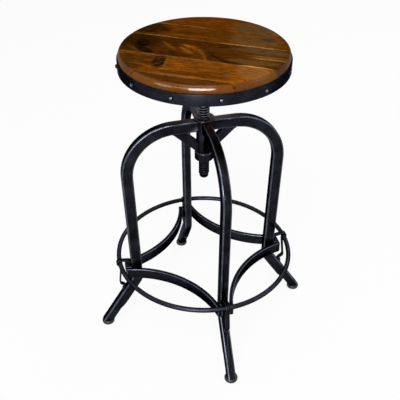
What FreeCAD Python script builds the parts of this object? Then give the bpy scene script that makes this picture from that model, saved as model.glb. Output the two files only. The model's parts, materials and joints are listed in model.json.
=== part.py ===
import FreeCAD, Part
import math
import os
import Sketcher
from FreeCAD import Placement, Rotation, Vector

# Driving dimensions in millimetres, angles in degrees, counts and shares as plain numbers.
SIZES = {
    # lifting screw
    "screw_diameter": 24.5, "screw_length": 275, "thread_pitch": 6, "thread_depth": 1.8,
    "screw_tip_length": 6, "screw_tip_round": 5, "screw_tip_step": 0.4,
    # hub, measured outwards from the screw
    "hub_top": 572, "hub_clearance": 2, "hub_wall": 3.5, "hub_length": 80,
    "nut_lip": 3.75, "nut_height": 20, "washer_lip": 5.5, "washer_thickness": 5,
    # legs
    "leg_depth": 26.5, "leg_width": 19.5, "leg_corner": 3,
    "shoulder_reach": 182, "shoulder_bend": 110, "knee_reach": 173.5, "knee_height": 142, "knee_bend": 28,
    "toe_depth": 21.5, "toe_length": 49, "swage_length": 26,
    # glides under the legs
    "foot_reach": 260, "foot_diameter": 32, "foot_height": 10, "foot_top_round": 5, "foot_bottom_round": 2.5,
    "stem_diameter": 7, "stem_length": 8,
    # struts
    "strut_depth": 20, "strut_width": 14, "strut_rise": 0.3, "strut_overrun": 3.5,
    # stretchers and their lugs, measured up from the knees and out from the legs
    "stretcher_rise": 44, "stretcher_height": 28.5, "stretcher_thickness": 9, "stretcher_waist": 111,
    "lug_length": 14.1, "lug_width": 19,
    # footrest ring, measured up from the stretchers and out from the legs
    "ring_rise": 11, "ring_standoff": 26.9, "ring_rod": 11.5,
    # straps that hold the ring, and their rivets
    "strap_width": 11, "strap_thickness": 3, "strap_bend": 4, "strap_wrap": 158, "strap_shoulder": 3,
    "strap_lead": 7, "belly_out": 4.5, "belly_drop": 12, "belly_bend": 7, "tab_rise": 2,
    "strap_toe_start": 36, "strap_toe_length": 15,
    "rivet_diameter": 4, "rivet_head": 8, "rivet_dome": 3, "rivet_depth": 8, "rivet_inset": 5.5,
    # seat
    "seat_lift": 106, "seat_thickness": 38, "seat_round": 8, "seam_angle": -32, "seam_groove": 1,
    "front_board_width": 33, "back_board_width": 79,
    "second_board_share": 0.332, "third_board_share": 0.381,
    "band_diameter": 360, "band_thickness": 2.5, "band_height": 24, "band_drop": 3,
    "stud_count": 12, "stud_angle": -95, "stud_head": 9, "stud_dome": 3.5, "stud_shank": 4,
    "plate_diameter": 150, "plate_thickness": 5, "boss_wall": 6.7, "boss_length": 12,
    "plate_screw_count": 4, "plate_screw_inset": 20, "plate_screw_diameter": 5,
    "plate_screw_length": 25, "plate_screw_head": 10, "plate_screw_dome": 3.5,
    # share of a domed head's height that its rounded edge takes
    "crown_share": 0.95,
    # clearances
    "fit_gap": 0.1, "thread_gap": 0.3, "hole_gap": 0.2,
}

doc = FreeCAD.newDocument("bar_stool")
sheet = doc.addObject("Spreadsheet::Sheet", "sizes")
for row, (alias, size) in enumerate(SIZES.items(), start=1):
    sheet.set(f"A{row}", alias)
    sheet.set(f"B{row}", str(size))
    sheet.setAlias(f"B{row}", alias)
doc.recompute()

sub_parts = []


def value(expression):
    """The number that an expression on the sheet gives."""
    result = sheet.evalExpression(expression)
    return float(getattr(result, "Value", result))


def keep(piece, label, turn=None):
    """Names a finished sub-part, turns it about the stool's axis and lists it for export."""
    piece.Label = label
    if turn:
        piece.setExpression("Placement.Rotation.Angle", f"{turn} * 1 deg")
    sub_parts.append(piece)


def new_body(name):
    return doc.addObject("PartDesign::Body", name)


def new_sketch(body, name, plane, lift=None):
    """A sketch on one of the body's origin planes, moved along the plane's normal by an expression."""
    sketch = body.newObject("Sketcher::SketchObject", name)
    sketch.AttachmentSupport = [(next(f for f in body.Origin.OriginFeatures if f.Role == plane), "")]
    sketch.MapMode = "FlatFace"
    if lift:
        sketch.setExpression("AttachmentOffset.Base.z", lift)
    return sketch


def turn_sketch(sketch, x, y, angle):
    """Moves a sketch's own axes to a point of its plane and turns them by an angle."""
    sketch.AttachmentOffset = Placement(Vector(), Rotation(Vector(0, 0, 1), value(angle)))
    sketch.setExpression("AttachmentOffset.Base.x", x)
    sketch.setExpression("AttachmentOffset.Base.y", y)
    sketch.setExpression("AttachmentOffset.Rotation.Angle", angle)


def bind(sketch, constraint, expression):
    sketch.setExpression(f"Constraints[{sketch.addConstraint(constraint)}]", expression)


def pin_point(sketch, geometry, end, x, y):
    """Holds one point of a sketch at two expressions, measured from the sketch's origin."""
    bind(sketch, Sketcher.Constraint("DistanceX", -1, 1, geometry, end, value(x)), x)
    bind(sketch, Sketcher.Constraint("DistanceY", -1, 1, geometry, end, value(y)), y)


def draw_circle(sketch, x, y, radius):
    circle = Part.Circle(Vector(value(x), value(y), 0), Vector(0, 0, 1), value(radius))
    geometry = sketch.addGeometry(circle)
    pin_point(sketch, geometry, 3, x, y)
    bind(sketch, Sketcher.Constraint("Radius", geometry, value(radius)), radius)


def draw_polygon(sketch, corners):
    points = [Vector(value(x), value(y), 0) for x, y in corners]
    count = len(points)
    for i in range(count):
        sketch.addGeometry(Part.LineSegment(points[i], points[(i + 1) % count]))
    for i in range(count):
        sketch.addConstraint(Sketcher.Constraint("Coincident", i, 2, (i + 1) % count, 1))
        pin_point(sketch, i, 1, *corners[i])


def draw_bent_line(sketch, corners, radii, closed=False):
    """Straight runs through the corners, with a tangent arc at each corner that has a radius."""
    points = [Vector(value(x), value(y), 0) for x, y in corners]
    count = len(points)
    runs = count if closed else count - 1
    bends = {i: radius for i, radius in enumerate(radii) if radius}
    heading = [(points[(i + 1) % count] - points[i]).normalize() for i in range(runs)]
    turn, setback = {}, {}
    for i, radius in bends.items():
        before, after = heading[i - 1], heading[i]
        turn[i] = math.atan2(before.x * after.y - before.y * after.x, before.dot(after))
        setback[i] = value(radius) * math.tan(abs(turn[i]) / 2)
    for i in range(runs):
        after = (i + 1) % count
        start = points[i] + heading[i] * setback.get(i, 0)
        end = points[after] - heading[i] * setback.get(after, 0)
        sketch.addGeometry(Part.LineSegment(start, end))
    for i, radius in bends.items():
        side = math.copysign(1, turn[i])
        start = points[i] - heading[i - 1] * setback[i]
        centre = start + Vector(-heading[i - 1].y, heading[i - 1].x, 0) * side * value(radius)
        first = math.atan2(*reversed((start - centre)[:2]))
        last = first + turn[i]
        circle = Part.Circle(centre, Vector(0, 0, 1), value(radius))
        arc = sketch.addGeometry(Part.ArcOfCircle(circle, min(first, last), max(first, last)))
        ends = (1, 2) if side > 0 else (2, 1)
        sketch.addConstraint(Sketcher.Constraint("Tangent", (i - 1) % runs, 2, arc, ends[0]))
        sketch.addConstraint(Sketcher.Constraint("Tangent", i, 1, arc, ends[1]))
        bind(sketch, Sketcher.Constraint("Radius", arc, value(radius)), radius)
    for i, (x, y) in enumerate(corners):
        if i in bends:
            corner = sketch.addGeometry(Part.Point(points[i]), True)
            pin_point(sketch, corner, 1, x, y)
            sketch.addConstraint(Sketcher.Constraint("PointOnObject", corner, 1, (i - 1) % runs))
            sketch.addConstraint(Sketcher.Constraint("PointOnObject", corner, 1, i))
        elif i < runs:
            pin_point(sketch, i, 1, x, y)
            if i or closed:
                sketch.addConstraint(Sketcher.Constraint("Coincident", (i - 1) % runs, 2, i, 1))
        else:
            pin_point(sketch, i - 1, 2, x, y)


def draw_bar_section(sketch, width, depth, corner, height):
    """A rectangle with rounded corners, centred on the sketch's vertical axis at a height."""
    half = f"({width}) / 2"
    low, high = f"{height} - ({depth}) / 2", f"{height} + ({depth}) / 2"
    corners = [(f"-{half}", low), (half, low), (half, high), (f"-{half}", high)]
    draw_bent_line(sketch, corners, [corner] * 4, closed=True)


def pad(body, sketch, length, both_ways=False):
    feature = body.newObject("PartDesign::Pad", f"{sketch.Name}_pad")
    feature.Profile = sketch
    feature.SideType = "Symmetric" if both_ways else "One side"
    feature.setExpression("Length", length)
    return feature


def pocket(body, sketch, length=None, reverse=False):
    """A cut along the sketch's normal, right through both ways where no length is given."""
    feature = body.newObject("PartDesign::Pocket", f"{sketch.Name}_pocket")
    feature.Profile = sketch
    if length:
        feature.setExpression("Length", length)
        feature.Reversed = reverse
    else:
        feature.Type = "ThroughAll"
        feature.SideType = "Symmetric"
    return feature


def revolve(body, sketch, axis="V_Axis"):
    feature = body.newObject("PartDesign::Revolution", f"{sketch.Name}_turn")
    feature.Profile = sketch
    feature.ReferenceAxis = (sketch, [axis])
    feature.Angle = 360
    return feature


def repeat_round(body, features, count):
    """Repeats features evenly round the stool's axis."""
    feature = body.newObject("PartDesign::PolarPattern", f"{body.Name}_round")
    feature.Originals = features
    feature.Axis = (next(f for f in body.Origin.OriginFeatures if f.Role == "Z_Axis"), [""])
    feature.Angle = 360
    feature.setExpression("Occurrences", count)
    body.Tip = feature
    return feature


def sweep(body, section, path):
    feature = body.newObject("PartDesign::AdditivePipe", f"{path.Name}_pipe")
    feature.Profile = section
    feature.Spine = (path, [f"Edge{i + 1}" for i in range(len(path.Shape.Edges))])
    return feature


def make_tube(label, bottom, height, outer, bore):
    """A round tube or disc on the stool's axis."""
    body = new_body(label)
    sketch = new_sketch(body, f"{label}_section", "XY_Plane", bottom)
    draw_circle(sketch, "0", "0", outer)
    draw_circle(sketch, "0", "0", bore)
    pad(body, sketch, height)
    return body


def dome_profile(sketch, seat, head, dome, shank, depth):
    """Half section of a domed fastener along the sketch's x axis, its head standing out from seat."""
    crown_round = f"({dome}) * sizes.crown_share"
    corners = [(f"{seat} - ({depth})", "0"), (f"{seat} + ({dome})", "0"), (f"{seat} + ({dome})", head),
               (seat, head), (seat, shank), (f"{seat} - ({depth})", shank)]
    draw_bent_line(sketch, corners, [None, None, crown_round, None, None, None], closed=True)


# Expressions that several sub-parts share
hub_bottom = "(sizes.hub_top - sizes.hub_length)"
nut_bottom = f"({hub_bottom} - sizes.nut_height)"
washer_top = "(sizes.hub_top + sizes.fit_gap + sizes.washer_thickness)"
boss_bottom = f"({washer_top} + sizes.seat_lift)"
plate_bottom = f"({boss_bottom} + sizes.boss_length)"
seat_bottom = f"({plate_bottom} + sizes.plate_thickness)"
seat_top = f"({seat_bottom} + sizes.seat_thickness)"
thread_bore = "(sizes.screw_diameter / 2 + sizes.thread_gap)"
hub_inside = "(sizes.screw_diameter / 2 + sizes.hub_clearance)"
hub_outside = f"({hub_inside} + sizes.hub_wall)"
cope_radius = f"({hub_outside} + sizes.fit_gap)"
screw_spot = "(sizes.plate_diameter / 2 - sizes.plate_screw_inset)"

run_height = "(sizes.hub_top - sizes.leg_depth / 2)"
run_underside = "(sizes.hub_top - sizes.leg_depth)"
lean = f"atan((sizes.shoulder_reach - sizes.knee_reach) / ({run_height} - sizes.knee_height))"
run_end = f"(sizes.shoulder_reach - sizes.shoulder_bend * tan((90 deg + {lean}) / 2))"
toe_reach = "(sizes.foot_reach - (sizes.leg_depth - sizes.toe_depth) / 2)"
foot_run = f"({toe_reach} - sizes.knee_reach)"
foot_drop = "(sizes.knee_height - sizes.foot_height)"
foot_slope = f"atan2(-{foot_drop}; {foot_run})"
foot_line_length = f"sqrt({foot_run}^2 + {foot_drop}^2)"


def leg_face(height):
    """How far out the upright leg's outer face is at a height."""
    return (f"(sizes.knee_reach + ({height} - sizes.knee_height) * tan({lean})"
            f" + sizes.leg_depth / 2 / cos({lean}))")


def foot_point(along, out):
    """A point of the leg's plane, given along the slanted foot from the knee and out from its middle line."""
    return (f"(sizes.knee_reach + ({along}) * cos({foot_slope}) - ({out}) * sin({foot_slope}))",
            f"(sizes.knee_height + ({along}) * sin({foot_slope}) + ({out}) * cos({foot_slope}))")


stretcher_top = "(sizes.knee_height + sizes.stretcher_rise)"
stretcher_bottom = f"({stretcher_top} - sizes.stretcher_height)"
lug_reach = f"({leg_face(stretcher_top)} + sizes.lug_length)"
ring_height = f"({stretcher_top} + sizes.ring_rise)"
ring_radius = f"({leg_face(ring_height)} + sizes.ring_standoff)"
tab_foot = f"({stretcher_top} + sizes.tab_rise)"
tab_head = f"({ring_height} + sizes.strap_shoulder)"
strap_seat = "(sizes.strap_thickness / 2 + sizes.fit_gap)"
strap_outside = "(sizes.strap_thickness + 2 * sizes.fit_gap)"
rivet_spot = "(sizes.strap_toe_start + sizes.strap_toe_length - sizes.rivet_inset)"
foot_face = f"(sizes.leg_depth / 2 + {strap_outside})"


def make_hub():
    tube = make_tube("hub_tube", hub_bottom, "sizes.hub_length", hub_outside, hub_inside)
    nut = make_tube("hub_nut", nut_bottom, "sizes.nut_height", f"{hub_outside} + sizes.nut_lip", thread_bore)
    washer = make_tube("hub_washer", "sizes.hub_top + sizes.fit_gap", "sizes.washer_thickness",
                       f"{hub_outside} + sizes.washer_lip", thread_bore)
    for piece in (tube, nut, washer):
        keep(piece, piece.Name)


def make_leg(side, turn):
    body = new_body(f"leg_{side}")
    path = new_sketch(body, f"leg_{side}_path", "XZ_Plane")
    corners = [("0", run_height), ("sizes.shoulder_reach", run_height),
               ("sizes.knee_reach", "sizes.knee_height"),
               foot_point(f"{foot_line_length} + sizes.leg_depth / 2", "0")]
    draw_bent_line(path, corners, [None, "sizes.shoulder_bend", "sizes.knee_bend", None])
    section = new_sketch(body, f"leg_{side}_section", "YZ_Plane")
    draw_bar_section(section, "sizes.leg_width", "sizes.leg_depth", "sizes.leg_corner", run_height)
    doc.recompute()
    sweep(body, section, path)

    cope = new_sketch(body, f"leg_{side}_cope", "XY_Plane")
    draw_circle(cope, "0", "0", cope_radius)
    pocket(body, cope)

    swage = new_sketch(body, f"leg_{side}_swage", "XZ_Plane")
    turn_sketch(swage, "sizes.knee_reach", "sizes.knee_height", foot_slope)
    inner, outside = "-sizes.leg_depth / 2", "-sizes.leg_depth"
    toe_start = f"{foot_line_length} - sizes.toe_length"
    swage_start = f"{toe_start} - sizes.swage_length"
    toe_inner = "sizes.leg_depth / 2 - sizes.toe_depth"
    beyond = f"{foot_line_length} + sizes.leg_depth"
    draw_polygon(swage, [(swage_start, inner), (toe_start, toe_inner), (beyond, toe_inner), (beyond, outside),
                         (swage_start, outside)])
    pocket(body, swage)

    floor_cut = new_sketch(body, f"leg_{side}_floor", "XZ_Plane")
    near, far = "sizes.foot_reach - 2 * sizes.leg_depth", "sizes.foot_reach + 2 * sizes.leg_depth"
    low, high = "sizes.foot_height - 2 * sizes.leg_depth", "sizes.foot_height"
    draw_polygon(floor_cut, [(near, low), (far, low), (far, high), (near, high)])
    pocket(body, floor_cut)

    stem = new_sketch(body, f"leg_{side}_stem", "XY_Plane")
    draw_circle(stem, "sizes.foot_reach", "0", "sizes.stem_diameter / 2 + sizes.fit_gap")
    pocket(body, stem, "sizes.foot_height + sizes.stem_length + sizes.hole_gap", reverse=True)

    drill_rivet_holes(body, f"leg_{side}", "sizes.rivet_depth + sizes.hole_gap")
    keep(body, f"leg_{side}", turn)


def rivet_frames():
    """Where a strap is riveted in a leg's plane: a name, the point under the head and the way it faces."""
    upper_height = f"(({tab_foot} + {tab_head} - sizes.strap_bend) / 2)"
    yield "upper", f"{leg_face(upper_height)} + {strap_outside}", upper_height, f"-{lean}"
    x, y = foot_point(rivet_spot, foot_face)
    yield "lower", x, y, f"{foot_slope} + 90 deg"


def drill_rivet_holes(body, name, depth):
    """Round holes for the strap's rivets, cut by a half section turned about each rivet's own axis."""
    for place, x, y, facing in rivet_frames():
        sketch = new_sketch(body, f"{name}_{place}_hole", "XZ_Plane")
        turn_sketch(sketch, x, y, facing)
        radius = "sizes.rivet_diameter / 2 + sizes.fit_gap"
        draw_polygon(sketch, [(f"-({depth})", "0"), ("sizes.fit_gap", "0"), ("sizes.fit_gap", radius),
                              (f"-({depth})", radius)])
        feature = body.newObject("PartDesign::Groove", f"{sketch.Name}_cut")
        feature.Profile = sketch
        feature.ReferenceAxis = (sketch, ["H_Axis"])
        feature.Angle = 360


def make_strut(side, turn):
    body = new_body(f"strut_{side}")
    sketch = new_sketch(body, f"strut_{side}_side", "XZ_Plane")
    top = f"({run_underside} - sizes.fit_gap)"
    low = f"({hub_bottom} + sizes.strut_rise)"
    landing = f"({run_end} + sizes.strut_overrun)"
    heel = f"sqrt({cope_radius}^2 - (sizes.strut_width / 2)^2)"
    slope = f"atan2({top} - {low}; {landing} - {heel})"
    root = f"({heel} / 2)"
    root_low = f"({low} - {root} * tan({slope}))"
    draw_polygon(sketch, [(root, root_low), (landing, top),
                          (f"{landing} - sizes.strut_depth / sin({slope})", top),
                          (root, f"{root_low} + sizes.strut_depth / cos({slope})")])
    pad(body, sketch, "sizes.strut_width", both_ways=True)
    cope = new_sketch(body, f"strut_{side}_cope", "XY_Plane")
    draw_circle(cope, "0", "0", cope_radius)
    pocket(body, cope)
    keep(body, f"strut_{side}", turn)


# The stretcher's arc passes the waist half-way between two legs and the lug's tip beside each leg.
stretcher_offset = "((sizes.lug_width + sizes.stretcher_thickness) / 2 + sizes.fit_gap)"
stretcher_spread = f"({lug_reach} + {stretcher_offset})"
stretcher_centre_distance = (f"(({lug_reach}^2 + {stretcher_offset}^2 - sizes.stretcher_waist^2)"
                             f" / (2 * ({stretcher_spread} / sqrt(2) - sizes.stretcher_waist)))")
stretcher_centre = f"({stretcher_centre_distance} / sqrt(2))"
stretcher_radius = f"({stretcher_centre_distance} - sizes.stretcher_waist)"


def make_stretcher(label, turn):
    body = new_body(label)
    sketch = new_sketch(body, f"{label}_plan", "XY_Plane", stretcher_bottom)
    centre = Vector(value(stretcher_centre), value(stretcher_centre), 0)
    reach = value(lug_reach)
    radii = [f"{stretcher_radius} - sizes.stretcher_thickness / 2",
             f"{stretcher_radius} + sizes.stretcher_thickness / 2"]
    ends = []
    for radius in radii:
        size = value(radius)
        side = centre.x - math.sqrt(size ** 2 - (centre.x - reach) ** 2)
        first = math.atan2(reach - centre.y, side - centre.x) % (2 * math.pi)
        last = math.atan2(side - centre.y, reach - centre.x) % (2 * math.pi)
        circle = Part.Circle(centre, Vector(0, 0, 1), size)
        arc = sketch.addGeometry(Part.ArcOfCircle(circle, first, last))
        pin_point(sketch, arc, 3, stretcher_centre, stretcher_centre)
        bind(sketch, Sketcher.Constraint("Radius", arc, size), radius)
        ends.append((Vector(side, reach, 0), Vector(reach, side, 0)))
    for end, axis in ((1, "DistanceY"), (2, "DistanceX")):
        line = sketch.addGeometry(Part.LineSegment(ends[0][end - 1], ends[1][end - 1]))
        sketch.addConstraint(Sketcher.Constraint("Coincident", line, 1, 0, end))
        sketch.addConstraint(Sketcher.Constraint("Coincident", line, 2, 1, end))
        for point in (1, 2):
            bind(sketch, Sketcher.Constraint(axis, -1, 1, line, point, reach), lug_reach)
    pad(body, sketch, "sizes.stretcher_height")
    keep(body, label, turn)


def make_lug(side, turn):
    body = new_body(f"stretcher_lug_{side}")
    sketch = new_sketch(body, f"stretcher_lug_{side}_side", "XZ_Plane")
    low_face = f"{leg_face(stretcher_bottom)} + sizes.fit_gap"
    high_face = f"{leg_face(stretcher_top)} + sizes.fit_gap"
    draw_polygon(sketch, [(low_face, stretcher_bottom), (lug_reach, stretcher_bottom),
                          (lug_reach, stretcher_top), (high_face, stretcher_top)])
    pad(body, sketch, f"2 * {stretcher_offset}", both_ways=True)
    cut = new_sketch(body, f"stretcher_lug_{side}_cut", "XY_Plane")
    radius = f"{stretcher_radius} + sizes.stretcher_thickness / 2 + sizes.fit_gap"
    draw_circle(cut, stretcher_centre, stretcher_centre, radius)
    draw_circle(cut, stretcher_centre, f"-{stretcher_centre}", radius)
    pocket(body, cut)
    keep(body, f"stretcher_lug_{side}", turn)


def make_ring():
    ring = doc.addObject("Part::Torus", "footrest_ring")
    ring.setExpression("Radius1", ring_radius)
    ring.setExpression("Radius2", "sizes.ring_rod / 2")
    ring.setExpression("Placement.Base.z", ring_height)
    keep(ring, "footrest_ring")


def make_clip(side, turn):
    body = new_body(f"ring_clip_{side}")
    path = new_sketch(body, f"ring_clip_{side}_path", "XZ_Plane")
    wrap_radius = f"(sizes.ring_rod / 2 + {strap_seat})"
    head_x = f"({leg_face(tab_head)} + {strap_seat})"
    across, down = f"({ring_radius} - {head_x})", "(-sizes.strap_shoulder)"
    rise = f"(atan2({down}; {across}) + asin({wrap_radius} / sqrt({across}^2 + {down}^2)))"
    fall = f"({rise} - sizes.strap_wrap * 1 deg)"
    reach = f"({wrap_radius} * tan(sizes.strap_wrap / 2))"
    over = (f"{ring_radius} - {wrap_radius} * sin({rise}) + {reach} * cos({rise})",
            f"{ring_height} + {wrap_radius} * cos({rise}) + {reach} * sin({rise})")
    neck = (f"{ring_radius} - {wrap_radius} * sin({fall}) + sizes.strap_lead * cos({fall})",
            f"{ring_height} + {wrap_radius} * cos({fall}) + sizes.strap_lead * sin({fall})")
    middle, on_foot = f"({leg_face(tab_foot)} + {strap_seat})", f"sizes.leg_depth / 2 + {strap_seat}"
    corners = [(middle, tab_foot), (head_x, tab_head), over, neck,
               (f"{ring_radius} + sizes.belly_out", "sizes.knee_height - sizes.belly_drop"),
               foot_point("sizes.strap_toe_start", on_foot),
               foot_point("sizes.strap_toe_start + sizes.strap_toe_length", on_foot)]
    bend = "sizes.strap_bend"
    draw_bent_line(path, corners, [None, bend, wrap_radius, bend, "sizes.belly_bend", bend, None])
    section = new_sketch(body, f"ring_clip_{side}_section", "XY_Plane", tab_foot)
    half, thin = "sizes.strap_width / 2", "sizes.strap_thickness / 2"
    draw_polygon(section, [(f"{middle} - {thin}", f"-{half}"), (f"{middle} + {thin}", f"-{half}"),
                           (f"{middle} + {thin}", half), (f"{middle} - {thin}", half)])
    doc.recompute()
    sweep(body, section, path)
    drill_rivet_holes(body, f"ring_clip_{side}", f"{strap_outside} + sizes.fit_gap")
    keep(body, f"ring_clip_{side}", turn)


def make_clip_rivets():
    body = new_body("clip_rivets")
    body.AllowCompound = True
    turned = []
    for place, x, y, facing in rivet_frames():
        sketch = new_sketch(body, f"clip_rivet_{place}", "XZ_Plane")
        turn_sketch(sketch, x, y, facing)
        dome_profile(sketch, "0", "sizes.rivet_head / 2", "sizes.rivet_dome", "sizes.rivet_diameter / 2",
                     "sizes.rivet_depth")
        turned.append(revolve(body, sketch, "H_Axis"))
    repeat_round(body, turned, str(len(SIDES)))
    keep(body, "clip_rivets")


def make_foot(side, turn):
    body = new_body(f"foot_{side}")
    sketch = new_sketch(body, f"foot_{side}_half", "XZ_Plane")
    radius, stem = "sizes.foot_diameter / 2", "sizes.stem_diameter / 2"
    stem_top = "sizes.foot_height + sizes.stem_length"
    corners = [("0", "0"), (radius, "0"), (radius, "sizes.foot_height"), (stem, "sizes.foot_height"),
               (stem, stem_top), ("0", stem_top)]
    rounds = [None, "sizes.foot_bottom_round", "sizes.foot_top_round", None, None, None]
    draw_bent_line(sketch, corners, rounds, closed=True)
    revolve(body, sketch)
    keep(body, f"foot_{side}")
    body.setExpression("Placement.Base.x", f"sizes.foot_reach * cos({turn})")
    body.setExpression("Placement.Base.y", f"sizes.foot_reach * sin({turn})")


def make_screw():
    """The thread is the screw motion of a round section set off the axis by half the thread's depth."""
    thread_bottom = f"({plate_bottom} - sizes.screw_length + sizes.screw_tip_length)"
    offset = "sizes.thread_depth / 2"
    spine = doc.addObject("Part::Helix", "thread_spine")
    spine.Pitch = value("sizes.thread_pitch")
    spine.setExpression("Pitch", "sizes.thread_pitch")
    spine.setExpression("Height", "sizes.screw_length - sizes.screw_tip_length")
    spine.setExpression("Radius", offset)
    spine.SegmentLength = 1
    section = doc.addObject("Part::Circle", "thread_section")
    section.setExpression("Radius", f"sizes.screw_diameter / 2 - {offset}")
    section.setExpression("Placement.Base.x", offset)
    thread = doc.addObject("Part::Sweep", "thread")
    thread.Sections = [section]
    thread.Spine = (spine, [])
    thread.Solid = True
    thread.Frenet = True

    tip = new_body("screw_tip")
    sketch = new_sketch(tip, "screw_tip_half", "XZ_Plane")
    radius = "sizes.screw_diameter / 2 - sizes.thread_depth - sizes.screw_tip_step"
    low = "-sizes.screw_tip_length"
    draw_bent_line(sketch, [("0", low), (radius, low), (radius, "0"), ("0", "0")],
                   [None, "sizes.screw_tip_round", None, None], closed=True)
    revolve(tip, sketch)

    screw = doc.addObject("Part::Fuse", "lift_screw")
    screw.Base = thread
    screw.Tool = tip
    screw.setExpression("Placement.Base.z", thread_bottom)
    keep(screw, "lift_screw")


def make_plate():
    """The disc that carries the seat, with a boss round the screw's upper end."""
    body = new_body("seat_plate")
    sketch = new_sketch(body, "seat_plate_half", "XZ_Plane")
    disc, boss = "sizes.plate_diameter / 2", f"{thread_bore} + sizes.boss_wall"
    draw_polygon(sketch, [("0", plate_bottom), (thread_bore, plate_bottom), (thread_bore, boss_bottom),
                          (boss, boss_bottom), (boss, plate_bottom), (disc, plate_bottom),
                          (disc, seat_bottom), ("0", seat_bottom)])
    revolve(body, sketch)
    hole = new_sketch(body, "seat_plate_hole", "XY_Plane", plate_bottom)
    draw_circle(hole, screw_spot, "0", "sizes.plate_screw_diameter / 2 + sizes.hole_gap")
    cut = pocket(body, hole, "sizes.plate_thickness", reverse=True)
    repeat_round(body, [cut], "sizes.plate_screw_count")
    keep(body, "seat_plate", "sizes.seam_angle")

    screws = new_body("plate_screws")
    screws.AllowCompound = True
    half = new_sketch(screws, "plate_screw_half", "XZ_Plane")
    turn_sketch(half, screw_spot, f"{plate_bottom} - sizes.fit_gap", "-90 deg")
    dome_profile(half, "0", "sizes.plate_screw_head / 2", "sizes.plate_screw_dome",
                 "sizes.plate_screw_diameter / 2", "sizes.plate_screw_length")
    repeat_round(screws, [revolve(screws, half, "H_Axis")], "sizes.plate_screw_count")
    keep(screws, "plate_screws", "sizes.seam_angle")


def make_boards():
    """Five boards sliced from one round blank, with a small groove along each seam and pilot holes below."""
    blank = new_body("seat_blank")
    sketch = new_sketch(blank, "seat_blank_half", "XZ_Plane")
    radius = "(sizes.band_diameter / 2 - sizes.band_thickness - sizes.fit_gap)"
    draw_bent_line(sketch, [("0", seat_bottom), (radius, seat_bottom), (radius, seat_top), ("0", seat_top)],
                   [None, None, "sizes.seat_round", None], closed=True)
    revolve(blank, sketch)
    hole = new_sketch(blank, "seat_blank_hole", "XY_Plane", seat_bottom)
    draw_circle(hole, screw_spot, "0", "sizes.plate_screw_diameter / 2 + sizes.fit_gap")
    depth = "sizes.plate_screw_length - sizes.plate_thickness + sizes.hole_gap"
    repeat_round(blank, [pocket(blank, hole, depth, reverse=True)], "sizes.plate_screw_count")

    middle = f"(2 * {radius} - sizes.front_board_width - sizes.back_board_width)"
    seams = [f"-{radius} + sizes.front_board_width"]
    for share in ("sizes.second_board_share", "sizes.third_board_share"):
        seams.append(f"{seams[-1]} + {middle} * {share}")
    seams.append(f"{radius} - sizes.back_board_width")

    grooves = doc.addObject("Part::MultiFuse", "seam_grooves")
    grooves.Shapes = [seam_groove(i, seam, radius) for i, seam in enumerate(seams)]
    grooved = doc.addObject("Part::Cut", "grooved_blank")
    grooved.Base = blank
    grooved.Tool = grooves

    edges = [f"-2 * {radius}", *seams, f"2 * {radius}"]
    for i, (front, back) in enumerate(zip(edges, edges[1:]), start=1):
        strip = doc.addObject("Part::Box", f"board_strip_{i}")
        strip.setExpression("Length", f"4 * {radius}")
        strip.setExpression("Width", f"({back}) - ({front})")
        strip.setExpression("Height", "2 * sizes.seat_thickness")
        strip.setExpression("Placement.Base.x", f"-2 * {radius}")
        strip.setExpression("Placement.Base.y", front)
        strip.setExpression("Placement.Base.z", f"{seat_bottom} - sizes.seat_thickness / 2")
        board = doc.addObject("Part::Common", f"seat_board_{i}")
        board.Base = grooved
        board.Tool = strip
        keep(board, f"seat_board_{i}", "sizes.seam_angle")


def seam_groove(index, seam, radius):
    """A square bar lying on its edge, whose lowest edge is the groove's bottom."""
    bar = doc.addObject("Part::Box", f"seam_bar_{index}")
    bar.setExpression("Length", f"4 * {radius}")
    bar.Placement = Placement(Vector(), Rotation(Vector(1, 0, 0), 45))
    for side in ("Width", "Height"):
        bar.setExpression(side, "2 * sizes.seam_groove")
    bar.setExpression("Placement.Base.x", f"-2 * {radius}")
    bar.setExpression("Placement.Base.y", seam)
    bar.setExpression("Placement.Base.z", f"{seat_top} - sizes.seam_groove")
    return bar


def make_band():
    bottom = f"{seat_bottom} - sizes.band_drop"
    middle = f"{bottom} + sizes.band_height / 2"
    outer = "sizes.band_diameter / 2"
    body = make_tube("seat_band", bottom, "sizes.band_height", outer, f"{outer} - sizes.band_thickness")
    hole = new_sketch(body, "seat_band_hole", "YZ_Plane")
    draw_circle(hole, "0", middle, "sizes.stud_shank / 2 + sizes.fit_gap")
    cut = pocket(body, hole, f"{outer} * 2", reverse=True)
    repeat_round(body, [cut], "sizes.stud_count")
    keep(body, "seat_band", "sizes.stud_angle")

    studs = new_body("band_studs")
    studs.AllowCompound = True
    half = new_sketch(studs, "band_stud_half", "XZ_Plane")
    turn_sketch(half, f"{outer} + sizes.fit_gap", middle, "0 deg")
    dome_profile(half, "0", "sizes.stud_head / 2", "sizes.stud_dome", "sizes.stud_shank / 2",
                 "sizes.band_thickness + sizes.fit_gap")
    repeat_round(studs, [revolve(studs, half, "H_Axis")], "sizes.stud_count")
    keep(studs, "band_studs", "sizes.stud_angle")


# Legs stand on the axes of the frame, counted from the right-hand one.
SIDES = {"right": 0, "back": 90, "left": 180, "front": 270}
CORNERS = {"back_right": 0, "back_left": 90, "front_left": 180, "front_right": 270}

make_hub()
for side, turn in SIDES.items():
    make_leg(side, turn)
    make_strut(side, turn)
    make_lug(side, turn)
    make_clip(side, turn)
    make_foot(side, turn)
for corner, turn in CORNERS.items():
    make_stretcher(f"stretcher_{corner}", turn)
make_ring()
make_clip_rivets()
make_screw()
make_plate()
make_boards()
make_band()
doc.recompute()

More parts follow.
